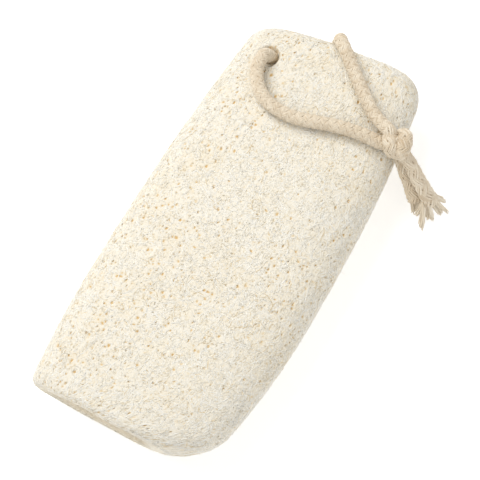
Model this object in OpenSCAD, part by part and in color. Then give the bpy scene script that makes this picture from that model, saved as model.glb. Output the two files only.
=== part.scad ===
/* [Pressed loofah] */
// Length of the loofah section along its middle
body_l = 189; // [150:1:225]
// Width across the belly, the widest place
belly_w = 92; // [78:1:115]
// Thickness of the slab across its flat middle
body_t = 38; // [32:1:46]
// Place of the belly along the length, from the middle of the slab
belly_x = -14; // [-25:1:10]
// Sideways bow of the slab between its ends
bow = 1.5; // [0:0.5:4]

/* [Foot end] */
// Width of the cut end that is away from the cord
foot_w = 78; // [70:1:100]
// Thickness of that end, measured across its rolled lips
foot_t = 30; // [24:1:36]
// Height of that end's lower edge above the table
foot_rise = 3; // [0:0.5:8]
// Sideways offset of that end, towards the sharper corner
foot_shift = 1; // [0:0.5:5]
// Angle by which that end is cut out of square
foot_skew = 3; // [0:0.5:8]
// Plan radius of the sharper corner
foot_left_r = 4; // [2:1:20]
// Plan radius of the rounder corner
foot_right_r = 21; // [2:1:26]

/* [Head end] */
// Width of the cut end that carries the cord
head_w = 77; // [70:1:100]
// Thickness of that end, measured across its rolled lips
head_t = 26; // [20:1:34]
// Height of that end's lower edge, which lets the cord pass underneath
head_rise = 12; // [10:0.5:16]
// Angle by which that end is cut out of square
head_skew = 9.5; // [0:0.5:14]
// Plan radius of the corner beside the cord hole
head_left_r = 10; // [2:1:20]
// Plan radius of the corner beside the knot
head_right_r = 11; // [2:1:20]

/* [Section of the loofah] */
// Thickness of the outer fibre mat
wall = 5; // [3:0.5:7]
// Roundness of the rolled lips at both cut ends
lip_r = 4; // [1:0.5:6]
// Squareness of the section: 2 is an ellipse, more is a fuller slab
fullness = 2.9; // [2.4:0.1:4]
// Width of each flattened seed channel
channel_w = 15; // [8:1:17]
// Height of each flattened seed channel
channel_h = 5; // [3:0.5:7]
// Thickness of the web beside the two outer channels
side_web = 3; // [1:0.5:6]

/* [Cord hole] */
// Distance of the hole's front mouth from the head end
front_mouth_from_end = 21.5; // [16:0.5:40]
// Distance of the hole's front mouth from the slab's side
front_mouth_from_side = 11.5; // [9:0.5:40]
// Distance of the hole's back mouth from the head end
back_mouth_from_end = 10; // [9:0.5:40]
// Distance of the hole's back mouth from the slab's side
back_mouth_from_side = 20; // [12:0.5:40]
// Clearance around the cord in the hole punched for it
hole_clearance = 0.5; // [0.3:0.1:1]

/* [Cord] */
// Diameter of the round cotton cord
cord_d = 6; // [4:0.5:6]
// Swelling of the cord where it flexes at each side of the loop
flex_swell = 0.2; // [0.1:0.1:0.4]
// Gap left in the cord beside each of those places
flex_gap = 0.5; // [0.3:0.1:1]
// Radius of the overhand knot that closes the loop
knot_r = 7; // [6:0.5:7.5]
// Radius of the splayed yarns at the cut ends of the cord
fray_r = 4.5; // [3.5:0.1:5]

/* [Hidden] */

half_l = body_l / 2;
foot_side = belly_x + half_l;
head_side = half_l - belly_x;
corner_max_r = max(foot_left_r, foot_right_r, head_left_r, head_right_r);
// The middle of the underside is pressed flat by this much, which gives the slab its footprint
footprint_depth = 1.2;
back_mouth_rise = 0.75 * head_rise;
width_power = 2.4;
taper_power = 3;
ring_sides = 36;
end_rings = 6;
middle_rings = 12;

mat_colour = [0.91, 0.85, 0.73];
web_colour = [0.78, 0.68, 0.50];
cord_colour = [0.79, 0.66, 0.47];
knot_colour = [0.74, 0.61, 0.42];

// The slab's length runs along X with the cord at the +X end, and it lies on Z = 0.
// share() grows from 0 at the belly to 1 at either end.
function share(x) = x < belly_x ? (belly_x - x) / foot_side : (x - belly_x) / head_side;
function ease(x, belly, foot, head, power) =
  belly + ((x < belly_x ? foot : head) - belly) * pow(share(x), power);
function corner_inset(x, r) =
  let (past = r - (half_l - abs(x))) past <= 0 ? 0 : r - sqrt(r * r - past * past);
function corner_r(x, left) =
  x < 0 ? (left ? foot_left_r : foot_right_r) : (left ? head_left_r : head_right_r);
function half_width(x, left) =
  ease(x, belly_w, foot_w, head_w, width_power) / 2 - corner_inset(x, corner_r(x, left));
function thickness(x) = ease(x, body_t + footprint_depth, foot_t, head_t, taper_power);
function middle_z(x) =
  ease(x, -footprint_depth, foot_rise, head_rise, taper_power) + thickness(x) / 2;
function sway(x) =
  -bow * (1 - pow(share(x), 2)) + (x < belly_x ? foot_shift * pow(share(x), 2) : 0);
function lean(x) = tan(x > 0 ? head_skew : foot_skew) * pow(abs(x) / half_l, 3);
function squared(v) = sign(v) * pow(abs(v), 2 / fullness);

// One ring of points round the slab at x, set in from the surface by depth
function loose_ring(x, depth) = [
  for (i = [0:ring_sides - 1])
    let (
      angle = 360 * i / ring_sides,
      y = squared(cos(angle)) * (half_width(x, cos(angle) > 0) - depth),
      z = squared(sin(angle)) * (thickness(x) / 2 - corner_inset(x, lip_r) - depth)
    )
    [x - y * lean(x), y + sway(x), max(depth, middle_z(x) + z)]
];

function slab_stations() = concat(
  [for (i = [0:end_rings - 1]) -half_l + corner_max_r * pow(i / end_rings, 2)],
  [for (i = [0:middle_rings])
    -half_l + corner_max_r + (body_l - 2 * corner_max_r) * i / middle_rings],
  [for (i = [end_rings - 1:-1:0]) half_l - corner_max_r * pow(i / end_rings, 2)]
);

// The slab is centred on the origin by the box of its outer points
function middle_of(values) = (min(values) + max(values)) / 2;
outer_points = [for (x = slab_stations()) each loose_ring(x, 0)];
slab_centre = [middle_of([for (p = outer_points) p[0]]), middle_of([for (p = outer_points) p[1]]), 0];
function slab_ring(x, depth) = [for (p = loose_ring(x, depth)) p - slab_centre];

// Side faces between successive rings of a tube, with their points numbered from first
function side_faces(rings, sides, first = 0, inward = false) = [
  for (k = [0:rings - 2], i = [0:sides - 1])
    let (
      a = first + k * sides + i,
      b = first + k * sides + (i + 1) % sides,
      c = b + sides,
      d = a + sides
    )
    each inward ? [[a, b, c], [a, c, d]] : [[a, c, b], [a, d, c]]
];

// The slab set in from its surface by depth, solid from end to end
module slab_solid(depth) {
  stations = slab_stations();
  rings = len(stations);
  points = [for (x = stations) each slab_ring(x, depth)];
  foot_face = [for (i = [0:ring_sides - 1]) i];
  head_face = [for (i = [ring_sides - 1:-1:0]) (rings - 1) * ring_sides + i];
  polyhedron(points, concat([foot_face], side_faces(rings, ring_sides), [head_face]), 4);
}

// The slab's outer mat: a tube of fibre, open at both cut ends
module slab_tube(depth) {
  stations = slab_stations();
  rings = len(stations);
  inner = rings * ring_sides;
  last = (rings - 1) * ring_sides;
  points = concat(
    [for (x = stations) each slab_ring(x, 0)],
    [for (x = stations) each slab_ring(x, depth)]
  );
  end_faces = [
    for (i = [0:ring_sides - 1])
      let (j = (i + 1) % ring_sides)
      each [
        [i, j, inner + j], [i, inner + j, inner + i],
        [last + i, inner + last + j, last + j], [last + i, inner + last + i, inner + last + j]
      ]
  ];
  polyhedron(
    points,
    concat(
      side_faces(rings, ring_sides),
      side_faces(rings, ring_sides, inner, inward = true),
      end_faces
    ),
    6
  );
}

// The cord lies on the slab, dives through the hole, passes under the head end and comes back
// over its edge. Both halves meet in the knot, and its two cut ends hang from there as tails.
knot_at = [64, -39.5, 40];
front_route = [
  [62, -34, 38], [60.5, -25.5, 40], [58.5, -16.5, 41], [55.5, -8, 41.5], [52.5, 0.5, 41.5],
  [51.5, 6.5, 41.5], [51.5, 11.5, 41.5], [52, 15.5, 41.5], [53.5, 19, 41.5], [55.5, 22, 41.5],
  [58, 24.5, 41.5], [61, 26.5, 41], [64, 28, 41], [67.5, 28.5, 40.5]
];
mouth_at = [71, 28.5, 39];
through_route = [[74, 26.5, 32], [77, 24.5, 24.5], [80, 22, 17], [83, 20, 9.5]];
head_route = [
  [84.5, 18.5, 6], [87, 16, 4.5], [90, 13, 5], [92.5, 10.5, 7.5], [95, 8.5, 12],
  [97, 7, 18], [97.5, 6, 25], [97, 5, 32]
];
edge_at = [95, 4, 38.5];
over_route = [
  [91, 0.5, 41.5], [85.5, -5.5, 41.5], [80, -12, 41.5], [74.5, -19, 41.5],
  [70, -25.5, 42], [67.5, -31.5, 43], [66, -35, 44]
];
long_tail_route = [
  [61.5, -47.5, 35.5], [59.5, -53, 30], [58, -58.5, 23.5], [57.5, -63, 16.5], [57.5, -67.5, 9]
];
short_tail_route = [
  [63, -43, 31.5], [61, -46.5, 27], [59, -50.5, 22], [57, -54.5, 16.5],
  [55, -57.5, 11], [54, -59, 6]
];

// The stretch that the slab holds: through the hole, then round the head end
held_route = concat([mouth_at], through_route, head_route, [edge_at]);
back_mouth = len(through_route);
cord_r = cord_d / 2;
hole_r = cord_r + hole_clearance;
cord_sides = 10;
ball_fn = 32;
flex_r = cord_r + flex_swell;
// A swinging stretch of cord starts this far from the point that it flexes about
flex_start = flex_r + flex_gap;

function unit(v) = v / norm(v);
function cross_axes(t) = let (side = unit(cross(t, [0.2, 0.1, 1]))) [side, cross(t, side)];
function along(from, to, distance) = from + unit(to - from) * distance;
function direction(route, k) =
  unit(route[min(k + 1, len(route) - 1)] - route[max(k - 1, 0)]);

// A round tube along the stretch of route from its point first to its point last. Its ends are
// square to the route, so stretches that share a point meet face to face.
module swept_tube(route, first, last, end_r = cord_r) {
  rings = last - first + 1;
  points = [
    for (k = [first:last])
      let (
        axes = cross_axes(direction(route, k)),
        r = cord_r + (end_r - cord_r) * (k - first) / (last - first)
      )
      for (i = [0:cord_sides - 1])
        let (angle = 360 * i / cord_sides)
        route[k] + r * (cos(angle) * axes[0] + sin(angle) * axes[1])
  ];
  start_face = [for (i = [0:cord_sides - 1]) i];
  end_face = [for (i = [cord_sides - 1:-1:0]) (rings - 1) * cord_sides + i];
  polyhedron(points, concat([start_face], side_faces(rings, cord_sides), [end_face]), 4);
}

module flex_ball(at) {
  translate(at) sphere(flex_r, $fn = ball_fn);
}

// Hole punched through the slab for the cord, on a slant between its two mouths
module cord_hole() {
  end_x = half_l - slab_centre[0];
  side_y = head_w / 2 - slab_centre[1];
  front = [end_x - front_mouth_from_end, side_y - front_mouth_from_side, body_t];
  back = [end_x - back_mouth_from_end, side_y - back_mouth_from_side, back_mouth_rise];
  run = back - front;
  overshoot = 3 * cord_d;
  translate(front - unit(run) * overshoot)
    rotate([0, acos(run[2] / norm(run)), atan2(run[1], run[0])])
      cylinder(r = hole_r, h = norm(run) + 2 * overshoot, $fn = 48);
}

// Flattened tunnels left by the seeds, running the whole length between the end openings
module seed_channels() {
  foot_z = middle_z(-half_l);
  head_z = middle_z(half_l);
  core_end_w = min(foot_w, head_w) - 2 * wall;
  pitch = (core_end_w - channel_w) / 2 - side_web;
  overshoot = 12;
  for (side = [-1:1])
    translate([0, side * pitch, (foot_z + head_z) / 2] - slab_centre)
      rotate([0, 90 - atan2(head_z - foot_z, body_l), 0])
        scale([channel_h, channel_w, 1])
          cylinder(d = 1, h = body_l + 2 * overshoot, center = true, $fn = 48);
}

module fibre_wall() {
  color(mat_colour) difference() {
    slab_tube(wall);
    cord_hole();
  }
}

module core_web() {
  color(web_colour) difference() {
    slab_solid(wall);
    seed_channels();
    cord_hole();
  }
}

module cord_through_hole() {
  color(cord_colour) union() {
    flex_ball(mouth_at);
    swept_tube(held_route, 0, back_mouth);
  }
}

module cord_round_head() {
  color(cord_colour) union() {
    swept_tube(held_route, back_mouth, len(held_route) - 1);
    flex_ball(edge_at);
  }
}

module cord_front() {
  count = len(front_route);
  start = along(mouth_at, front_route[count - 1], flex_start);
  color(cord_colour) swept_tube(concat(front_route, [start]), 0, count);
}

module cord_over_edge() {
  start = along(edge_at, over_route[0], flex_start);
  color(cord_colour) swept_tube(concat([start], over_route), 0, len(over_route));
}

module knot() {
  color(knot_colour) translate(knot_at) sphere(knot_r, $fn = 48);
}

// A tail without its frayed tip, which is the last stretch of its route
module tail(route) {
  color(cord_colour) swept_tube(route, 0, len(route) - 2);
}

module frayed_end(route) {
  color(cord_colour) swept_tube(route, len(route) - 2, len(route) - 1, fray_r);
}

fibre_wall();
core_web();
cord_through_hole();
cord_round_head();
cord_front();
cord_over_edge();
knot();
tail(long_tail_route);  // tail_long
tail(short_tail_route);  // tail_short
frayed_end(long_tail_route);  // frayed_end_long
frayed_end(short_tail_route);  // frayed_end_short
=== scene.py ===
import math

import bpy
import numpy as np
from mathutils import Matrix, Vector


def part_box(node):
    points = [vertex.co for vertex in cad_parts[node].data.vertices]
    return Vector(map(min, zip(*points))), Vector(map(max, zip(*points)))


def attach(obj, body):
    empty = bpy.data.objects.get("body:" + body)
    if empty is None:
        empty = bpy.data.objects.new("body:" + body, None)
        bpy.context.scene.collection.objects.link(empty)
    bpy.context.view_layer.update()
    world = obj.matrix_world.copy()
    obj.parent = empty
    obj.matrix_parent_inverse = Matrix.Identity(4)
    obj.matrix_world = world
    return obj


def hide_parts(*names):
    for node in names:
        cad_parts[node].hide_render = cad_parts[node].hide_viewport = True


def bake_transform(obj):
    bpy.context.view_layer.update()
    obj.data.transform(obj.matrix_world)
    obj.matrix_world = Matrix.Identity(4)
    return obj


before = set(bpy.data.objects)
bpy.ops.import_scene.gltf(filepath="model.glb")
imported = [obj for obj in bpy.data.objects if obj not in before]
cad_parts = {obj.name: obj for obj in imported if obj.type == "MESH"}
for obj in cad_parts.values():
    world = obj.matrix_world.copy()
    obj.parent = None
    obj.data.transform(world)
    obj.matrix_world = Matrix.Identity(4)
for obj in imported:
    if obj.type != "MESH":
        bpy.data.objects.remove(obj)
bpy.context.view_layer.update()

MM = 0.001

# ---------------------------------------------------------------------------
# Table and light. The scrubber lies on a plain white table that glows a little,
# under a large soft window on the hole's side and a weak fill on the knot's side.
table_half = 1.6
table_mesh = bpy.data.meshes.new("table")
table_mesh.from_pydata(
    [(-table_half, -table_half, 0), (table_half, -table_half, 0),
     (table_half, table_half, 0), (-table_half, table_half, 0)],
    [],
    [(0, 1, 2, 3)],
)
table = bpy.data.objects.new("table", table_mesh)
bpy.context.collection.objects.link(table)
table_paint = bpy.data.materials.new("white table")
table_paint.use_nodes = True
table_shader = table_paint.node_tree.nodes["Principled BSDF"]
table_shader.inputs["Base Color"].default_value = (0.93, 0.93, 0.93, 1)
table_shader.inputs["Roughness"].default_value = 0.9
table_shader.inputs["Specular IOR Level"].default_value = 0.1
table_shader.inputs["Emission Color"].default_value = (1, 1, 1, 1)
table_shader.inputs["Emission Strength"].default_value = 0.35
table_mesh.materials.append(table_paint)

world = bpy.data.worlds.new("soft room")
world.use_nodes = True
world.node_tree.nodes["Background"].inputs["Color"].default_value = (1.0, 0.99, 0.98, 1)
world.node_tree.nodes["Background"].inputs["Strength"].default_value = 0.62
bpy.context.scene.world = world
bpy.context.scene.view_settings.view_transform = "Standard"


def soft_light(name, place, aim, size, watts, colour):
    """A round area light at place, turned to aim."""
    lamp = bpy.data.lights.new(name, "AREA")
    lamp.shape = "DISK"
    lamp.size = size
    lamp.energy = watts
    lamp.color = colour
    lamp_object = bpy.data.objects.new(name, lamp)
    lamp_object.location = place
    lamp_object.rotation_euler = (Vector(aim) - Vector(place)).to_track_quat("-Z", "Y").to_euler()
    bpy.context.collection.objects.link(lamp_object)


slab_middle = (0, 0, 0.02)
soft_light("window", (0.14, 0.70, 1.00), slab_middle, 0.8, 8.5, (1.0, 0.99, 0.975))
soft_light("fill", (-0.45, -0.85, 0.8), slab_middle, 0.9, 2.0, (1.0, 0.99, 0.97))

# ---------------------------------------------------------------------------
# Camera. It looks steeply down on the scrubber from beyond its foot end and its
# knot side, through a long lens.
camera_azimuth = math.radians(-59.2)
camera_elevation = math.radians(74.0)
camera_distance = 0.65
camera_target = Vector((0.0042, 0.0009, 0.0013))
camera_back = Vector((
    math.sin(camera_azimuth) * math.cos(camera_elevation),
    -math.cos(camera_azimuth) * math.cos(camera_elevation),
    math.sin(camera_elevation),
))
camera_data = bpy.data.cameras.new("camera")
camera_data.lens = 111.4
camera_data.clip_start = 0.01
camera = bpy.data.objects.new("camera", camera_data)
camera.location = camera_target + camera_back * camera_distance
camera.rotation_euler = camera_back.to_track_quat("Z", "Y").to_euler()
bpy.context.collection.objects.link(camera)
bpy.context.scene.camera = camera

# ---------------------------------------------------------------------------
# Cord. One length of 6 mm round cotton, braided from eight carriers of four soft
# yarns over a straight core. Its route is given in metres: over the front, down
# the hole, under the head end and back over its edge.
cord_d = 6.0 * MM
knot_at = (0.064, -0.0395, 0.040)
front_route = [
    (0.062, -0.034, 0.038), (0.0605, -0.0255, 0.040), (0.0585, -0.0165, 0.041),
    (0.0555, -0.008, 0.0415), (0.0525, 0.0005, 0.0415), (0.0515, 0.0065, 0.0415),
    (0.0515, 0.0115, 0.0415), (0.052, 0.0155, 0.0415), (0.0535, 0.019, 0.0415),
    (0.0555, 0.022, 0.0415), (0.058, 0.0245, 0.0415), (0.061, 0.0265, 0.041),
    (0.064, 0.028, 0.041), (0.0675, 0.0285, 0.0405),
]
mouth_at = (0.071, 0.0285, 0.039)
through_route = [
    (0.074, 0.0265, 0.032), (0.077, 0.0245, 0.0245), (0.080, 0.022, 0.017), (0.083, 0.020, 0.0095),
]
head_route = [
    (0.0845, 0.0185, 0.006), (0.087, 0.016, 0.0045), (0.090, 0.013, 0.005),
    (0.0925, 0.0105, 0.0075), (0.095, 0.0085, 0.012), (0.097, 0.007, 0.018),
    (0.0975, 0.006, 0.025), (0.097, 0.005, 0.032),
]
edge_at = (0.095, 0.004, 0.0385)
over_route = [
    (0.091, 0.0005, 0.0415), (0.0855, -0.0055, 0.0415), (0.080, -0.012, 0.0415),
    (0.0745, -0.019, 0.0415), (0.070, -0.0255, 0.042), (0.0675, -0.0315, 0.043),
    (0.066, -0.035, 0.044),
]
long_tail_route = [
    (0.0615, -0.0475, 0.0355), (0.0595, -0.053, 0.030), (0.058, -0.0585, 0.0235),
    (0.0575, -0.063, 0.0165), (0.0575, -0.0675, 0.009),
]
short_tail_route = [
    (0.063, -0.043, 0.0315), (0.061, -0.0465, 0.027), (0.059, -0.0505, 0.022),
    (0.057, -0.0545, 0.0165), (0.055, -0.0575, 0.011), (0.054, -0.059, 0.006),
]


def unit(v):
    """Vectors v at length one."""
    return v / np.maximum(np.linalg.norm(v, axis=-1, keepdims=True), 1e-12)


def run_along(line):
    """How far along line each of its points is."""
    return np.concatenate([[0], np.cumsum(np.linalg.norm(np.diff(line, axis=0), axis=1))])


def smooth_route(points, step):
    """A smooth line through points, with a point every step."""
    p = np.array(points, float)
    p = np.vstack([2 * p[0] - p[1], p, 2 * p[-1] - p[-2]])
    t = np.linspace(0, 1, 24, endpoint=False)[:, None]
    line = []
    for a, b, c, d in zip(p[:-3], p[1:-2], p[2:-1], p[3:]):
        line.append(0.5 * (2 * b + (c - a) * t + (2 * a - 5 * b + 4 * c - d) * t**2
                           + (3 * b - a - 3 * c + d) * t**3))
    line = np.vstack(line + [p[-2][None]])
    along = run_along(line)
    even = np.linspace(0, along[-1], max(4, int(round(along[-1] / step)) + 1))
    line = np.stack([np.interp(even, along, line[:, k]) for k in range(3)], axis=1)
    for _ in range(4):
        line[1:-1] = 0.5 * line[1:-1] + 0.25 * (line[:-2] + line[2:])
    return line


def route_length(line):
    """The length of a line through points."""
    return float(np.linalg.norm(np.diff(np.array(line), axis=0), axis=1).sum())


def carried_axes(line):
    """Two axes across the line at each point, carried along it without twisting."""
    ahead = unit(np.gradient(line, axis=0))
    side = unit(np.cross(ahead[0], (0.2, 0.1, 1.0)))
    sides = []
    for t in ahead:
        side = unit(side - t * np.dot(side, t))
        sides.append(side)
    sides = np.array(sides)
    return sides, np.cross(ahead, sides)


def tubes(lines, ups, radii, sides, flatness=1.0):
    """Tubes round lines (count, points, 3), with a cap on each end. Returns points and faces."""
    count, points = lines.shape[:2]
    ahead = unit(np.gradient(lines, axis=1))
    across = unit(np.cross(ahead, ups))
    upward = np.cross(across, ahead)
    angle = 2 * math.pi * np.arange(sides) / sides + math.pi / 2
    ring = (np.cos(angle)[None, None, :, None] * across[:, :, None, :]
            + flatness * np.sin(angle)[None, None, :, None] * upward[:, :, None, :])
    verts = (lines[:, :, None, :] + radii[:, :, None, None] * ring).reshape(-1, 3)
    base = (np.arange(count) * points * sides)[:, None, None]
    k = (np.arange(points - 1) * sides)[None, :, None]
    i = np.arange(sides)[None, None, :]
    j = (i + 1) % sides
    quads = np.stack([base + k + i, base + k + sides + i, base + k + sides + j, base + k + j], -1)
    start = base[:, :, 0] + np.arange(sides)[None, :]
    end = base[:, :, 0] + (points - 1) * sides + np.arange(sides)[None, ::-1]
    faces = quads.reshape(-1, 4).tolist() + start.tolist() + end.tolist()
    return verts, faces


def new_piece(name, parts, material, smooth=True):
    """One mesh object from parts, each (points, faces, tint of each point)."""
    verts, faces, tints, offset = [], [], [], 0
    for part_verts, part_faces, part_tints in parts:
        verts.append(part_verts)
        faces += [[v + offset for v in face] for face in part_faces] if offset else part_faces
        tints.append(np.broadcast_to(part_tints, len(part_verts)))
        offset += len(part_verts)
    mesh = bpy.data.meshes.new(name)
    mesh.from_pydata(np.vstack(verts).tolist(), [], faces)
    mesh.polygons.foreach_set("use_smooth", [smooth] * len(mesh.polygons))
    tint = mesh.attributes.new("tint", "FLOAT", "POINT")
    tint.data.foreach_set("value", np.concatenate(tints).astype(np.float32))
    mesh.materials.append(material)
    mesh.update()
    piece = bpy.data.objects.new(name, mesh)
    bpy.context.collection.objects.link(piece)
    return piece


carriers_each_way = 4
yarns_in_carrier = 4
yarn_r = 0.41 * MM
yarn_sides = 5
yarn_spread = 0.33  # radians between the yarns of a carrier
yarn_wobble = 0.05  # radians
wobble_length = 2.3 * MM
yarn_uneven = 0.07
braid_r = 2.38 * MM
braid_weave = 0.26 * MM
braid_pitch = 14.0 * MM
braid_step = 0.5 * MM
core_r = 2.1 * MM
core_sides = 10
core_tint = 0.35


def braid(line, seed, first_width=1.0, last_width=1.0, pitch=braid_pitch):
    """The yarns and core of a braided cord along line. The widths swell it at its two ends."""
    rng = np.random.default_rng(seed)
    wide = first_width + (last_width - first_width) * np.linspace(0, 1, len(line)) ** 2
    side, other = carried_axes(line)
    along = run_along(line)
    turn = 2 * math.pi * along / pitch
    yarn_lines, yarn_ups, yarn_tints = [], [], []
    for way in (1, -1):
        for carrier in range(carriers_each_way):
            shade = rng.uniform(0.45, 0.75)
            for yarn in range(yarns_in_carrier):
                spread = (yarn - (yarns_in_carrier - 1) / 2) * yarn_spread
                angle = way * turn + 2 * math.pi * carrier / carriers_each_way + spread
                wobble = yarn_wobble * np.sin(along / wobble_length + rng.uniform(0, 6.3))
                crown = 1 - 0.5 * (2 * yarn / (yarns_in_carrier - 1) - 1) ** 2
                over_under = way * braid_weave * np.cos(carriers_each_way * turn)
                r = braid_r + over_under * (0.6 + 0.4 * crown)
                angle = angle + wobble
                out = np.cos(angle)[:, None] * side + np.sin(angle)[:, None] * other
                yarn_lines.append(line + (wide * r)[:, None] * out)
                yarn_ups.append(out)
                yarn_tints.append(np.clip(shade + rng.normal(0, 0.16), 0, 1))
    yarn_lines, yarn_ups = np.array(yarn_lines), np.array(yarn_ups)
    radii = yarn_r * wide * (1 + yarn_uneven * rng.standard_normal(yarn_lines.shape[:2]))
    verts, faces = tubes(yarn_lines, yarn_ups, radii, yarn_sides)
    yarns = (verts, faces, np.repeat(yarn_tints, yarn_lines.shape[1] * yarn_sides))
    core_radii = core_r * wide[None, ::3]
    core_verts, core_faces = tubes(line[None, ::3], side[None, ::3], core_radii, core_sides)
    return [yarns, (core_verts, core_faces, core_tint)]


hair_points = 5
hair_r = 0.055 * MM
hair_lengths = (0.8, 1.9)  # mm
hair_tint = 0.85
above_table = 0.3 * MM


def fuzz(line, radius, per_mm, seed):
    """Loose cotton hairs that stand off a cord or a yarn bundle."""
    rng = np.random.default_rng(seed)
    side, other = carried_axes(line)
    ahead = unit(np.gradient(line, axis=0))
    count = int(route_length(line) / MM * per_mm)
    at = rng.integers(1, len(line) - 1, count)
    angle = rng.uniform(0, 2 * math.pi, count)
    out = np.cos(angle)[:, None] * side[at] + np.sin(angle)[:, None] * other[at]
    astray = rng.normal(0, 0.5, (count, 3))
    way = rng.choice([-1, 1], count)[:, None]
    lie = unit(0.55 * out + astray + way * ahead[at])
    curl = rng.normal(0, 0.5, (count, 3))
    length = rng.uniform(*hair_lengths, count) * MM
    t = np.linspace(0, 1, hair_points)[None, :, None]
    lines = (line[at] + out * radius)[:, None] + length[:, None, None] * (
        t * lie[:, None] + t**2 * (0.35 * curl[:, None] - 0.2 * out[:, None]))
    lines[..., 2] = np.maximum(lines[..., 2], above_table)
    radii = hair_r * np.linspace(1, 0.3, hair_points)[None].repeat(count, 0)
    verts, faces = tubes(lines, out[:, None].repeat(hair_points, 1), radii, 3)
    return verts, faces, hair_tint


def link(tree, from_socket, to_socket):
    """Join two sockets of a node tree."""
    tree.links.new(from_socket, to_socket)


def new_group(name, colours, factors=()):
    """An empty shader group that gives a colour, a roughness and a height."""
    group = bpy.data.node_groups.new(name, "ShaderNodeTree")
    for colour in colours:
        group.interface.new_socket(colour, in_out="INPUT", socket_type="NodeSocketColor")
    for factor in factors:
        group.interface.new_socket(factor, in_out="INPUT", socket_type="NodeSocketFloat")
    group.interface.new_socket("Colour", in_out="OUTPUT", socket_type="NodeSocketColor")
    group.interface.new_socket("Roughness", in_out="OUTPUT", socket_type="NodeSocketFloat")
    group.interface.new_socket("Height", in_out="OUTPUT", socket_type="NodeSocketFloat")
    return group, group.nodes.new("NodeGroupInput"), group.nodes.new("NodeGroupOutput")


def noise(group, place, scale, detail):
    """Noise of a scale, fixed to the object."""
    texture = group.nodes.new("ShaderNodeTexNoise")
    texture.inputs["Scale"].default_value = scale
    texture.inputs["Detail"].default_value = detail
    link(group, place.outputs["Object"], texture.inputs["Vector"])
    return texture


def spread_over(group, value, from_low, from_high, to_low, to_high):
    """The value, spread from one range over another and kept inside it."""
    spread = group.nodes.new("ShaderNodeMapRange")
    spread.inputs["From Min"].default_value = from_low
    spread.inputs["From Max"].default_value = from_high
    spread.inputs["To Min"].default_value = to_low
    spread.inputs["To Max"].default_value = to_high
    link(group, value, spread.inputs["Value"])
    return spread.outputs["Result"]


def combine(group, operation, first, second):
    """The sum or product of two values, kept between 0 and 1."""
    sum_node = group.nodes.new("ShaderNodeMath")
    sum_node.operation = operation
    sum_node.use_clamp = True
    link(group, first, sum_node.inputs[0])
    link(group, second, sum_node.inputs[1])
    return sum_node.outputs[0]


def mixed_colour(group, share, first, second):
    """The first colour with a share of the second."""
    mix = group.nodes.new("ShaderNodeMix")
    mix.data_type = "RGBA"
    link(group, share, mix.inputs["Factor"])
    link(group, first, mix.inputs["A"])
    link(group, second, mix.inputs["B"])
    return mix.outputs["Result"]


def tint_of(group):
    """The tint that each point of a piece carries."""
    tint = group.nodes.new("ShaderNodeAttribute")
    tint.attribute_name = "tint"
    return tint.outputs["Fac"]


def cotton_group():
    """Colour, roughness and height of natural cotton yarn, from a tint that differs by yarn."""
    group, entry, leave = new_group("cotton yarn", ("Pale", "Deep"), ("Grime",))
    place = group.nodes.new("ShaderNodeTexCoord")
    patches = noise(group, place, 160, 3)
    hairs = noise(group, place, 2600, 3)
    hairs.inputs["Roughness"].default_value = 0.7
    hair = hairs.outputs["Fac"]
    shade = combine(group, "ADD", tint_of(group), spread_over(group, hair, 0.3, 0.7, -0.3, 0.3))
    body = mixed_colour(group, shade, entry.outputs["Deep"], entry.outputs["Pale"])
    dirt = spread_over(group, patches.outputs["Fac"], 0.45, 0.75, 0, 1)
    soil = combine(group, "MULTIPLY", dirt, entry.outputs["Grime"])
    soiled = mixed_colour(group, soil, body, entry.outputs["Deep"])
    link(group, soiled, leave.inputs["Colour"])
    link(group, spread_over(group, hair, 0, 1, 0.75, 0.98), leave.inputs["Roughness"])
    link(group, hair, leave.inputs["Height"])
    return group


cotton = cotton_group()


def finish_from(name, group, values, bump_mm, sheen):
    """A matte material whose colour, roughness and bump come from group, set to values."""
    material = bpy.data.materials.new(name)
    material.use_nodes = True
    tree = material.node_tree
    shader = tree.nodes["Principled BSDF"]
    effect = tree.nodes.new("ShaderNodeGroup")
    effect.node_tree = group
    for key, value in values.items():
        effect.inputs[key].default_value = value
    link(tree, effect.outputs["Colour"], shader.inputs["Base Color"])
    link(tree, effect.outputs["Roughness"], shader.inputs["Roughness"])
    bump = tree.nodes.new("ShaderNodeBump")
    bump.inputs["Strength"].default_value = 0.6
    bump.inputs["Distance"].default_value = bump_mm * MM
    link(tree, effect.outputs["Height"], bump.inputs["Height"])
    link(tree, bump.outputs["Normal"], shader.inputs["Normal"])
    shader.inputs["Specular IOR Level"].default_value = 0.2
    shader.inputs["Sheen Weight"].default_value = sheen
    shader.inputs["Sheen Roughness"].default_value = 0.6
    return material


cord_cotton = finish_from(
    "natural cotton cord",
    cotton,
    {"Pale": (0.90, 0.82, 0.68, 1), "Deep": (0.60, 0.47, 0.31, 1), "Grime": 0.3},
    0.12,
    0.15,
)

# The front half lies across the face, from inside the hole to the knot.
front_in_knot = (0.0635, -0.038, 0.0385)
front_points = [through_route[1], through_route[0], mouth_at] + front_route[::-1] + [front_in_knot]
front_line = smooth_route(front_points, braid_step)
front_cord = new_piece(
    "front_cord", braid(front_line, 11) + [fuzz(front_line, cord_d / 2, 5, 12)], cord_cotton
)
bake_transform(front_cord)
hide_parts("cord_front")

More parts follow.
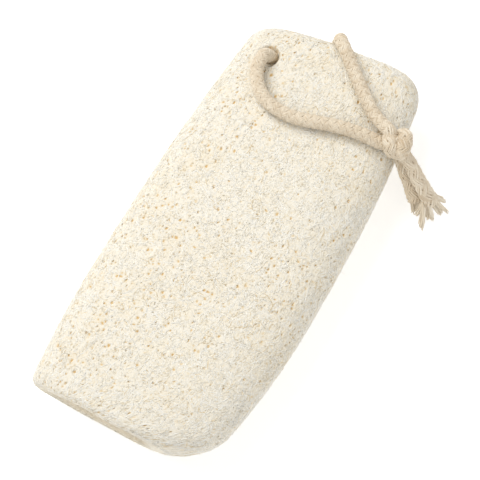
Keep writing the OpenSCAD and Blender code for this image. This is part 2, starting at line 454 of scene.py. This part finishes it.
# The back half leaves the hole underneath, turns up round the head end's cut
# face and comes back over its edge to the knot. Pulled tight, it bites into
# the soft edge a little.
back_in_knot = (0.0652, -0.0375, 0.0405)
back_points = through_route[1:] + head_route + [edge_at] + over_route + [back_in_knot]
back_line = smooth_route(back_points, braid_step)
edge_bite = 1.5 * MM
bite_reach = 9 * MM
bite_way = np.array((-0.85, 0, -0.35))
from_edge = np.linalg.norm(back_line - np.array(edge_at), axis=1)
back_line += edge_bite * np.exp(-((from_edge / bite_reach) ** 2))[:, None] * bite_way
back_cord = new_piece(
    "back_cord", braid(back_line, 21) + [fuzz(back_line, cord_d / 2, 5, 22)], cord_cotton
)
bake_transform(back_cord)
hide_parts("cord_through_hole", "cord_round_head", "cord_over_edge")

# ---------------------------------------------------------------------------
# Knot. Both halves of the cord are tied together in one overhand knot, so that
# two turns of cord lie side by side round the bundle, pulled tight.
knot_axis = unit(np.array((0.51, -0.86, 0.0)))
knot_up = np.array((0.0, 0.0, 1.0))
knot_away = np.cross(knot_up, knot_axis)


def knot_turn(turn_mm, start_angle, end_angle, offset_mm, slope_mm, bulge_mm):
    """One turn of cord round the knot's bundle, of radius turn_mm, leaning and bulging sideways."""
    angle = np.radians(np.linspace(start_angle, end_angle, 90))
    offset = (offset_mm + slope_mm * np.sin(angle) + bulge_mm * np.cos(angle)) * MM
    out = np.cos(angle)[:, None] * knot_up - np.sin(angle)[:, None] * knot_away
    return np.array(knot_at) + offset[:, None] * knot_axis + turn_mm * MM * out


outer_turn = smooth_route(knot_turn(3.7, -170, 175, 2.2, -0.5, 1.2)[::6], braid_step)
inner_turn = smooth_route(knot_turn(3.0, -165, 175, -2.2, 0.3, -0.7)[::6], braid_step)
knot_middle = smooth_route(
    [np.array(knot_at) + k * MM * knot_axis - 1.5 * MM * knot_up for k in (-5, -2, 2, 5)], braid_step
)
outer_width = 1.12
inner_width = 1.08
overhand_knot = new_piece(
    "overhand_knot",
    braid(outer_turn, 31, outer_width, outer_width)
    + braid(inner_turn, 32, inner_width, inner_width)
    + braid(knot_middle, 33)
    + [fuzz(outer_turn, cord_d / 2, 6, 34), fuzz(inner_turn, cord_d / 2, 6, 35)],
    cord_cotton,
)
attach(overhand_knot, "loop")
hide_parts("knot")

# ---------------------------------------------------------------------------
# Tails. The two ends of the cord come out of the knot one above the other, one
# cut a little shorter, and droop beside the slab.
long_in_knot = (0.0650, -0.0370, 0.0420)
short_in_knot = (0.0645, -0.0370, 0.0430)
short_cut = 6  # points cut off the short tail
loose_pitch = 36.0 * MM
long_line = smooth_route([long_in_knot, knot_at] + long_tail_route[:-1], braid_step)
short_line = smooth_route([short_in_knot, knot_at] + short_tail_route[:-1], braid_step)
short_line = short_line[:-short_cut]
long_braid = braid(long_line, 41, 1.0, 1.25, loose_pitch)
short_braid = braid(short_line, 43, 1.0, 1.2, loose_pitch)
long_tail = new_piece(
    "long_tail", long_braid + [fuzz(long_line, cord_d / 2, 6, 42)], cord_cotton
)
short_tail = new_piece(
    "short_tail", short_braid + [fuzz(short_line, cord_d / 2, 6, 44)], cord_cotton
)
for tail, node in ((long_tail, "tail_long"), (short_tail, "tail_short")):
    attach(tail, "tails")
    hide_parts(node)

# Frayed ends. The braid has opened at both cuts into tapering tufts, each a few
# yarns that still cling together, fanned out and crimped by the braiding.
yarn_cotton = finish_from(
    "loose cotton yarn",
    cotton,
    {"Pale": (0.92, 0.86, 0.74, 1), "Deep": (0.68, 0.57, 0.41, 1), "Grime": 0.3},
    0.1,
    0.2,
)


yarns_per_mm = 8
loose_yarn_r = 0.33 * MM
hidden_root = 2.5 * MM
yarn_crimp = 0.14 * MM


def frayed_end(name, line, tufts, seed):
    """Tufts at the end of line. Each is (across, along, fall, width) of its tip, in mm."""
    rng = np.random.default_rng(seed)
    root = np.array(line[-1])
    back = unit(np.array(line[-1]) - np.array(line[-6]))
    along_foot = np.cross(knot_axis, (0, 0, 1))
    lines, ups, radii, tints = [], [], [], []
    t = np.linspace(0, 1, 12)[:, None]
    for across, along, fall, width in tufts:
        tip = (across * knot_axis + along * along_foot + np.array((0, 0, -fall))) * MM
        spread = unit(np.cross(tip, (0, 0, 1)) + 0.15 * rng.normal(0, 1, 3))
        rise = unit(np.cross(spread, tip))
        start = root - hidden_root * back + 0.35 * tip - 0.35 * back * np.dot(tip, back)
        shade = rng.uniform(0.4, 0.75)
        count = int(yarns_per_mm * width)
        for yarn in range(count):
            place = (yarn + 0.5) / count * 2 - 1
            layer = rng.uniform(-0.5, 0.5)
            gap = (place * spread * width / 2 + layer * rise * 1.1) * MM
            own = rng.uniform(0.86, 1.04) - 0.10 * abs(place)
            crimp = yarn_crimp * np.sin(t * 9 + rng.uniform(0, 6))
            leave = t * (hidden_root * back * (1 - 0.5 * t))
            reach = t * own * (root + tip - start - hidden_root / 2 * back)
            stray = t**2 * rng.normal(0, 0.18, 3) * MM
            path = start + leave + gap * (0.8 + 0.35 * np.sin(2.6 * t)) + reach + crimp * rise + stray
            path[:, 2] = np.maximum(path[:, 2], 2 * above_table)
            lines.append(path)
            ups.append(np.broadcast_to(rise, path.shape))
            radii.append(loose_yarn_r * (1 - 0.45 * t[:, 0] ** 3) * rng.uniform(0.85, 1.15))
            tints.append(np.clip(shade + rng.normal(0, 0.14), 0, 1))
    lines = np.array(lines)
    verts, faces = tubes(lines, np.array(ups), np.array(radii), yarn_sides)
    hairs = [fuzz(path, 0.25 * MM, 0.8, seed + k) for k, path in enumerate(lines[::4])]
    parts = [(verts, faces, np.repeat(tints, lines.shape[1] * yarn_sides))] + hairs
    return new_piece(name, parts, yarn_cotton)


long_tufts = (
    (-4.1, 10.9, 6.0, 3.6), (-6.2, 5.8, 3.5, 1.8), (1.1, 7.1, 5.0, 2.4), (7.7, 4.4, 3.0, 1.9),
    (4.8, 4.8, 4.0, 2.2), (6.4, -0.8, 1.5, 3.2), (-1.0, 6.5, 6.5, 2.8), (3.2, 1.2, 5.0, 3.0),
)
short_tufts = (
    (0.5, 5.2, 6.0, 2.0), (3.2, 3.7, 6.0, 2.4), (1.5, 2.7, 7.0, 2.4), (3.5, 1.7, 5.0, 2.2),
)
long_fray = frayed_end("long_fray", long_line, long_tufts, 51)
short_fray = frayed_end("short_fray", short_line, short_tufts, 52)
for fray, node in ((long_fray, "frayed_end_long"), (short_fray, "frayed_end_short")):
    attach(fray, "tails")
    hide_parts(node)

# ---------------------------------------------------------------------------
# Fibre mat. The gourd's outer fibres are pressed and dried into a dense, curly
# mat round the slab. Its cut edges roll inwards as a soft lip at both ends.
body_l = 189.0 * MM
belly_w = 92.0 * MM
body_t = 38.0 * MM
belly_x = -14.0 * MM
bow = 1.5 * MM
foot_w = 78.0 * MM
foot_t = 30.0 * MM
foot_rise = 3.0 * MM
foot_shift = 1.0 * MM
foot_skew = 3.0  # degrees
foot_left_r = 4.0 * MM
foot_right_r = 21.0 * MM
head_w = 77.0 * MM
head_t = 26.0 * MM
head_rise = 12.0 * MM
head_skew = 9.5  # degrees
head_left_r = 10.0 * MM
head_right_r = 11.0 * MM
lip_r = 4.0 * MM
fullness = 2.9
footprint = 1.2 * MM
half_l = body_l / 2
slab_low, slab_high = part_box("fibre_wall")
girth = 245.0 * MM
skin_step = 0.46 * MM


def share_of(x):
    """How far x is from the belly towards an end, 0 to 1."""
    return np.where(x < belly_x, (belly_x - x) / (belly_x + half_l), (x - belly_x) / (half_l - belly_x))


def ease(x, belly, foot, head, power):
    """A size that changes from the belly to either end."""
    return belly + (np.where(x < belly_x, foot, head) - belly) * share_of(x) ** power


def corner_inset(x, r):
    """How far a rounded corner of radius r draws the edge in at x."""
    past = np.clip(r - (half_l - np.abs(x)), 0, r)
    return r - np.sqrt(np.maximum(r * r - past * past, 0))


def slab_point(x, angle):
    """The slab's plain surface at x along it and angle round it, before it is centred."""
    left = np.cos(angle) > 0
    r = np.where(x < 0, np.where(left, foot_left_r, foot_right_r),
                 np.where(left, head_left_r, head_right_r))
    half_w = ease(x, belly_w, foot_w, head_w, 2.4) / 2 - corner_inset(x, r)
    thick = ease(x, body_t + footprint, foot_t, head_t, 3)
    middle = ease(x, -footprint, foot_rise, head_rise, 3) + thick / 2
    half_t = thick / 2 - corner_inset(x, lip_r)
    y = np.sign(np.cos(angle)) * np.abs(np.cos(angle)) ** (2 / fullness) * half_w
    z = np.sign(np.sin(angle)) * np.abs(np.sin(angle)) ** (2 / fullness) * half_t
    lean = np.tan(np.radians(np.where(x > 0, head_skew, foot_skew))) * np.abs(x / half_l) ** 3
    sway = -bow * (1 - share_of(x) ** 2) + np.where(x < belly_x, foot_shift * share_of(x) ** 2, 0)
    return np.stack([x - y * lean, y + sway, np.maximum(middle + z, 0)], -1)


# The skin is a grid: rows along the slab and over both lips, columns round it.
lip_count = 13
roll_count = 5
lip_shrink = 0.08
lip_depth = 0.9 * MM
lip_angles = np.linspace(0, math.pi / 2, lip_count + 1)[1:]
body_rows = np.linspace(-(half_l - lip_r), half_l - lip_r, int((body_l - 2 * lip_r) / skin_step))
lip_rows = half_l - lip_r + lip_r * np.sin(lip_angles)
roll_in = np.linspace(0, 1, roll_count + 1)[1:]
row_x = np.concatenate([
    np.full(roll_count, -half_l), -lip_rows[::-1], body_rows, lip_rows, np.full(roll_count, half_l)
])
row_in = np.concatenate([roll_in[::-1], np.zeros(len(row_x) - 2 * roll_count), roll_in])
columns = int(girth / skin_step)
dense = np.linspace(0, 2 * math.pi, 1441)
skin = np.empty((len(row_x), columns, 3))
for k, x in enumerate(row_x):
    ring = slab_point(np.full(dense.shape, x), dense)
    along = run_along(ring[:, 1:])
    even = np.linspace(0, along[-1], columns, endpoint=False)
    skin[k] = np.stack([np.interp(even, along, ring[:, a]) for a in range(3)], -1)
slab_centre = (skin.reshape(-1, 3).min(0) + skin.reshape(-1, 3).max(0)) / 2
box_centre = (np.array(slab_low) + np.array(slab_high)) / 2
skin[..., :2] += (box_centre - slab_centre)[:2]

# Inside the lips the mat turns in towards the core and sinks a little.
for k in np.nonzero(row_in)[0]:
    middle = skin[k].mean(0)
    shrink = 1 - lip_shrink * row_in[k]
    skin[k, :, 1:] = middle[1:] + (skin[k, :, 1:] - middle[1:]) * shrink
    skin[k, :, 0] = middle[0] + (skin[k, :, 0] - middle[0]) * shrink
    skin[k, :, 0] -= np.sign(row_x[k]) * lip_depth * row_in[k] ** 1.5


def grid_normals(grid):
    """The direction square to the skin at each of its points."""
    down = np.gradient(grid, axis=0)
    wrapped = np.concatenate([grid[:, -1:], grid, grid[:, :1]], axis=1)
    round_it = (wrapped[:, 2:] - wrapped[:, :-2]) / 2
    return unit(np.cross(down, round_it))


def soft_noise(u, v, size, seed, around=None):
    """Smooth noise from -1 to 1 in patches of a size. With around, it closes on itself round v."""
    rng = np.random.default_rng(seed)
    count_v = int(round(around / size)) if around else int(np.ceil(v.max() / size)) + 2
    table = rng.uniform(-1, 1, (int(np.ceil(u.max() / size)) + 2, count_v))
    u, v = u / size, v / (around / count_v if around else size)
    iu, iv = np.floor(u).astype(int), np.floor(v).astype(int)
    fu, fv = u - iu, v - iv
    fu, fv = fu * fu * (3 - 2 * fu), fv * fv * (3 - 2 * fv)
    iv, jv = iv % count_v, (iv + 1) % count_v
    return ((table[iu, iv] * (1 - fv) + table[iu, jv] * fv) * (1 - fu)
            + (table[iu + 1, iv] * (1 - fv) + table[iu + 1, jv] * fv) * fu)


def cells(u, v, size, seed, around=None):
    """An irregular net of cells: how far inside its cell each point is, and the cell's number."""
    rng = np.random.default_rng(seed)
    count_v = int(round(around / size)) if around else int(np.ceil(v.max() / size)) + 3
    shape = (int(np.ceil(u.max() / size)) + 3, count_v)
    jitter, number = rng.uniform(0.1, 0.9, (*shape, 2)), rng.uniform(0, 1, shape)
    u, v = u / size + 1, v / (around / count_v if around else size) + 1
    iu, iv = np.floor(u).astype(int), np.floor(v).astype(int)
    near = np.full(u.shape, 9.0)  # further than any cell
    following = near.copy()
    own = near.copy()
    for du in (-1, 0, 1):
        for dv in (-1, 0, 1):
            ku, kv = iu + du, (iv + dv) % count_v
            apart = np.hypot(ku + jitter[ku, kv, 0] - u, iv + dv + jitter[ku, kv, 1] - v)
            own = np.where(apart < near, number[ku, kv], own)
            following = np.where(apart < near, near, np.minimum(following, apart))
            near = np.minimum(near, apart)
    return np.clip((following - near) / 0.55, 0, 1), own


skin_out = grid_normals(skin)
half_way = len(row_x) // 2
if np.sum(skin_out[half_way] * (skin[half_way] - skin[half_way].mean(0))) < 0:
    skin_out = -skin_out
row_run = run_along(skin[:, 0])
run_length = row_run[-1]
u = np.repeat(row_run[:, None], columns, 1)
v = np.repeat(np.arange(columns)[None] * girth / columns, len(row_x), 0)

# The mat's height in mm, from its swell, its net of cells, its pores and a grain.
swell = 0.22 * soft_noise(u, v, 24 * MM, 1, girth) + 0.04 * soft_noise(u, v, 7 * MM, 2, girth)
in_cell, cell_number = cells(u, v, 1.3 * MM, 3, girth)
in_pore, pore_number = cells(u, v, 1.6 * MM, 4, girth)
pore_share = 0.17 + 0.08 * soft_noise(u, v, 30 * MM, 5, girth)
pore_depth = np.clip((pore_number - 1 + pore_share) / 0.12, 0, 1)
pore = np.clip(in_pore * 1.9 - 0.8, 0, 1) * pore_depth
grain = 0.06 * soft_noise(u, v, 0.9 * MM, 6, girth)
height = (swell - 0.36 - (0.14 + 0.26 * cell_number) * in_cell ** 1.5 - 0.55 * pore + grain) * MM
height = np.where(skin[..., 2] < 1.2 * MM, np.minimum(height, 0), height)
blotches = 0.08 * soft_noise(u, v, 6 * MM, 7, girth)
mat_tint = np.clip(0.25 + blotches + 0.6 * in_cell * cell_number, 0, 0.75)
mat_tint = np.maximum(mat_tint, 0.7 * (pore > 0.05) + 0.3 * pore)


def funnel(points, mouth, toward, radius, depth):
    """How far the mat is pushed in round the mouth of the cord's hole."""
    axis = unit(np.array(toward) - np.array(mouth))
    apart = points - np.array(mouth)
    off = np.linalg.norm(apart - (apart @ axis)[..., None] * axis, axis=-1)
    near = np.linalg.norm(apart, axis=-1) < 12 * MM
    return np.where(near, depth * (1 - np.clip((off / radius - 0.62) / 0.38, 0, 1) ** 2), 0)


funnel_r = 5.2 * MM
funnel_depth = 4.5 * MM
back_funnel_r = 5.0 * MM
back_funnel_depth = 6.0 * MM
pushed_in = funnel(skin, mouth_at, through_route[1], funnel_r, funnel_depth)
pushed_in += funnel(skin, through_route[3], through_route[1], back_funnel_r, back_funnel_depth)
pushed_in *= 1 + 0.12 * soft_noise(u, v, 1.2 * MM, 10, girth)
skin_top = skin + skin_out * (height - pushed_in)[..., None]
skin_top[..., 2] = np.maximum(skin_top[..., 2], 0.05 * MM)

# Where the cord lies on the mat, it presses the mat in.
from_cord = np.full(skin.shape[:2], 1.0)
for point in np.vstack([front_line[::2], back_line[::2]]):
    from_cord = np.minimum(from_cord, np.linalg.norm(skin_top - point, axis=-1))
press_margin = 0.25 * MM
pressed = np.clip(cord_d / 2 + press_margin - from_cord, 0, cord_d / 2)
skin_top = skin_top - skin_out * pressed[..., None]


def fibre_group():
    """Colour, roughness and height of dry loofah fibre, from a tint that differs by fibre. Tints from
    0.75 up mix towards the speck colour, which also serves as painted shade in the cord's hole and the
    seed tunnels.
    """
    group, entry, leave = new_group("loofah fibre", ("Cream", "Straw", "Speck and painted shade"))
    place = group.nodes.new("ShaderNodeTexCoord")
    stains = noise(group, place, 42, 4)
    strands = noise(group, place, 1000, 3)
    strands.inputs["Distortion"].default_value = 1.2
    strand = strands.outputs["Fac"]
    tint = tint_of(group)
    stain = spread_over(group, stains.outputs["Fac"], 0.4, 0.7, -0.05, 0.12)
    shade = combine(group, "ADD", tint, stain)
    body = mixed_colour(group, shade, entry.outputs["Cream"], entry.outputs["Straw"])
    # Share of the speck colour, from tint 0.75 up: the pores, and painted shade in the cord's hole and
    # the seed tunnels.
    pore_share = spread_over(group, tint, 0.75, 1, 0, 1)
    specked = mixed_colour(group, pore_share, body, entry.outputs["Speck and painted shade"])
    link(group, specked, leave.inputs["Colour"])
    link(group, spread_over(group, strand, 0, 1, 0.7, 0.95), leave.inputs["Roughness"])
    link(group, strand, leave.inputs["Height"])
    return group


loofah = fibre_group()
# Its speck colour marks the pores and is also the painted warm shade inside the cord's hole.
mat_finish = finish_from(
    "pressed fibre mat",
    loofah,
    {"Cream": (0.90, 0.872, 0.79, 1), "Straw": (0.83, 0.72, 0.52, 1), "Speck and painted shade": (0.70, 0.48, 0.22, 1)},
    0.4,
    0.05,
)
rows, cols = skin_top.shape[:2]
index = np.arange(rows * cols).reshape(rows, cols)
right = np.roll(index, -1, axis=1)
# Painted warm shade: inside both mouths of the cord's hole the mat's tint is raised towards straw and
# the speck colour, standing in for shade and warm bounce light in the hole.
hole_painted_shade_tint = 0.86 + 0.1 * soft_noise(u, v, 1.2 * MM, 11, girth)
mat_tint = np.where(pushed_in > 0.4 * MM, hole_painted_shade_tint, mat_tint)
third = rows // 3
for name, first, last in (("foot_mat", 0, third), ("middle_mat", third, 2 * third),
                          ("head_mat", 2 * third, rows - 1)):
    quads = np.stack([index[:last - first], right[:last - first], right[1:last - first + 1],
                      index[1:last - first + 1]], -1).reshape(-1, 4)
    fibre_mat = new_piece(
        name,
        [(skin_top[first:last + 1].reshape(-1, 3), quads.tolist(), mat_tint[first:last + 1].ravel())],
        mat_finish,
    )
    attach(fibre_mat, "root")
    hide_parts("fibre_wall")

# ---------------------------------------------------------------------------
# Surface fibres. Thousands of dry fibres curl over the mat's face, a third of
# them round the slab, dip into it at both ends and leave the pores open.
fibre_finish = finish_from(
    "dry loofah fibre",
    loofah,
    {"Cream": (0.93, 0.915, 0.86, 1), "Straw": (0.87, 0.79, 0.62, 1), "Speck and painted shade": (0.74, 0.59, 0.36, 1)},
    0.1,
    0.05,
)


def on_skin(run, round_it, lift):
    """Points lift above the mat, at run along it and round_it round it."""
    row = np.interp(run, row_run, np.arange(rows))
    col = (round_it / girth * cols) % cols
    r0 = np.clip(row.astype(int), 0, rows - 2)
    c0 = col.astype(int) % cols
    c1 = (c0 + 1) % cols
    fr, fc = (row - r0)[..., None], (col - np.floor(col))[..., None]

    def mixed(grid):
        return ((grid[r0, c0] * (1 - fc) + grid[r0, c1] * fc) * (1 - fr)
                + (grid[r0 + 1, c0] * (1 - fc) + grid[r0 + 1, c1] * fc) * fr)

    out = unit(mixed(skin_out))
    return mixed(skin_top) + out * lift[..., None], out, pore[r0, c0]


bare_lip = 5.0 * MM
bare_round_hole = 5.2 * MM


def clear_of_hole(lines):
    """True for the lines that stay off the mouths of the cord's hole."""
    kept = np.ones(len(lines), bool)
    for mouth in (mouth_at, through_route[3]):
        kept &= np.linalg.norm(lines - np.array(mouth), axis=-1).min(1) > bare_round_hole
    return kept


def curled_fibres(count, length_mm, radius_mm, lift_mm, points, bias, seed):
    """Fibres that curl over the skin. bias is the share of them that run round the slab."""
    rng = np.random.default_rng(seed)
    run = rng.uniform(bare_lip, run_length - bare_lip, count)
    round_it = rng.uniform(0, girth, count)
    heading = np.where(rng.uniform(0, 1, count) < bias,
                       math.pi / 2 + rng.normal(0, 0.55, count), rng.uniform(0, 2 * math.pi, count))
    bend = rng.choice([-1, 1], count) * rng.uniform(0.1, 1, count) / (1.5 * MM)
    wander = rng.normal(0, 1, (count, points)) * 0.35
    length = rng.uniform(*length_mm, count) * MM
    step = length / (points - 1)
    turned = np.cumsum(bend[:, None] * step[:, None] + wander, axis=1)
    headings = heading[:, None] + turned - wander[:, :1]
    runs = run[:, None] + np.cumsum(np.cos(headings) * step[:, None], axis=1)
    rounds = round_it[:, None] + np.cumsum(np.sin(headings) * step[:, None], axis=1)
    runs = np.clip(runs, bare_lip, run_length - bare_lip)
    arch = np.sin(np.linspace(0, 1, points)[None] * math.pi)
    ripple = 0.08 * np.sin(np.linspace(0, 1, points)[None] * rng.uniform(6, 16, (count, 1))
                           + rng.uniform(0, 6, (count, 1)))
    level = rng.uniform(*lift_mm, count)[:, None]
    lift = (-0.2 + (level + 0.2) * np.minimum(1, 2.2 * arch) + ripple) * MM
    lines, out, in_pore = on_skin(runs, rounds, lift)
    radius = rng.uniform(*radius_mm, count)[:, None] * MM
    radii = radius * (0.45 + 0.55 * np.minimum(1, 3 * arch))
    lines[..., 2] = np.maximum(lines[..., 2], radii)
    kept = clear_of_hole(lines) & (in_pore.max(1) < 0.4)
    return lines[kept], out[kept], radii[kept]


fibre_sides = 3
fibre_flatness = 0.7
round_share = 0.3
# How many, their lengths, radii and lifts in mm, and the points along each.
stout = (6900, (4, 8), (0.19, 0.28), (-0.03, 0.07), 6)
loose = (4700, (6, 12), (0.11, 0.17), (0.04, 0.18), 8)
for name, fibre_sizes, seed in (
    ("lower_fibres", stout, 61), ("inner_fibres", stout, 62), ("upper_fibres", stout, 63),
    ("outer_fibres", stout, 64), ("loose_fibres", loose, 65),
):
    lines, out, radii = curled_fibres(*fibre_sizes, round_share, seed)
    rng = np.random.default_rng(seed + 100)
    verts, faces = tubes(lines, out, radii, fibre_sides, fibre_flatness)
    tints = np.clip(rng.normal(0.25, 0.32, len(lines)), 0, 0.9)
    tints = np.repeat(tints, lines.shape[1] * fibre_sides)
    fibres = new_piece(name, [(verts, faces, tints)], fibre_finish)
    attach(fibres, "root")

# Short broken fibre ends stand off the surface and soften its outline.
rng = np.random.default_rng(71)
whisker_count = 500
whisker_points = 5
run = rng.uniform(3 * MM, run_length - 3 * MM, whisker_count)
round_it = rng.uniform(0, girth, whisker_count)
root, out, _ = on_skin(run, round_it, np.zeros(whisker_count))
t = np.linspace(0, 1, whisker_points)[None, :, None]
lean = rng.normal(0, 1, (whisker_count, 1, 3))
reach = rng.uniform(0.5, 1.5, (whisker_count, 1, 1)) * MM
rise = unit(0.6 * out[:, None] + 0.8 * lean)
lines = root[:, None] + reach * (t * rise + t**2 * 0.7 * lean[:, :, ::-1])
lines[..., 2] = np.maximum(lines[..., 2], above_table / 2)
radii = np.linspace(0.12, 0.03, whisker_points)[None].repeat(whisker_count, 0) * MM
verts, faces = tubes(lines, out[:, None].repeat(whisker_points, 1), radii, fibre_sides)
whiskers = new_piece("broken_fibre_ends", [(verts, faces, 0.2)], fibre_finish)
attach(whiskers, "root")

# ---------------------------------------------------------------------------
# Core. Both cut ends show the gourd's inner web, coarser and browner than the
# mat, with the three tunnels left by the seeds, pressed almost flat. The tunnels
# are darkened with their depth, down to the speck colour: painted shade.
# Its speck colour is painted shade at the bottom of the seed tunnels.
core_finish = finish_from(
    "inner web",
    loofah,
    {"Cream": (0.80, 0.73, 0.59, 1), "Straw": (0.70, 0.58, 0.40, 1), "Speck and painted shade": (0.46, 0.30, 0.14, 1)},
    0.3,
    0.05,
)
channel_w = 15.0 * MM
channel_h = 5.0 * MM
channel_depth = 13.0 * MM
side_channel = 21.0 * MM
side_depth = 0.6
web_size = 2.4 * MM
face_rings = 64


def cut_face(row, outward):
    """Points of the web on one cut end, inside the mat's lip, with the tunnels sunk into it, and their
    tints, which darken with the tunnels' depth as painted shade.
    """
    rim = skin_top[row]
    middle = rim.mean(0)
    inward = np.linspace(0, 1, face_rings)[:, None, None]
    face = rim[None] * (1 - inward) + middle[None, None] * inward
    flat = face.reshape(-1, 3)
    across = flat[:, 1] - flat[:, 1].min()
    upward = flat[:, 2] - flat[:, 2].min()
    web, web_number = cells(across, upward, web_size, 8)
    ragged = soft_noise(across, upward, 2.2 * MM, 9)
    sunk = (-(0.3 + 1.1 * web_number) * web**1.5 + 0.25 * ragged) * MM
    pit = np.zeros(len(flat))
    for side in (-1, 0, 1):
        off = np.hypot((flat[:, 1] - side * side_channel - middle[1]) / (channel_w / 2),
                       (flat[:, 2] - middle[2]) / (channel_h / 2))
        deep = channel_depth * (1 if side == 0 else side_depth)
        pit = np.maximum(pit, deep * np.clip((1.05 + 0.4 * ragged - off) / 0.55, 0, 1) ** 1.2)
    blend = np.clip(inward * 6, 0, 1).repeat(face.shape[1], 1).reshape(-1)
    flat[:, 0] += outward * ((sunk - 0.2 * MM) * blend - pit * blend)
    # The tint rises with the tunnels' depth, so they darken to the speck colour: painted shade.
    return flat.reshape(face.shape), np.clip(0.2 + 0.35 * web * web_number + 110 * pit, 0, 1)


core_parts = []
for row, outward in ((0, -1), (rows - 1, 1)):
    face, tints = cut_face(row, outward)
    n, m = face.shape[:2]
    index = np.arange(n * m).reshape(n, m)
    right = np.roll(index, -1, axis=1)
    quads = np.stack([index[:-1], right[:-1], right[1:], index[1:]], -1).reshape(-1, 4)
    if outward < 0:
        quads = quads[:, ::-1]
    core_parts.append((face.reshape(-1, 3), quads.tolist(), tints))
core_web = new_piece("core_ends", core_parts, core_finish)
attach(core_web, "root")
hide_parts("core_web")
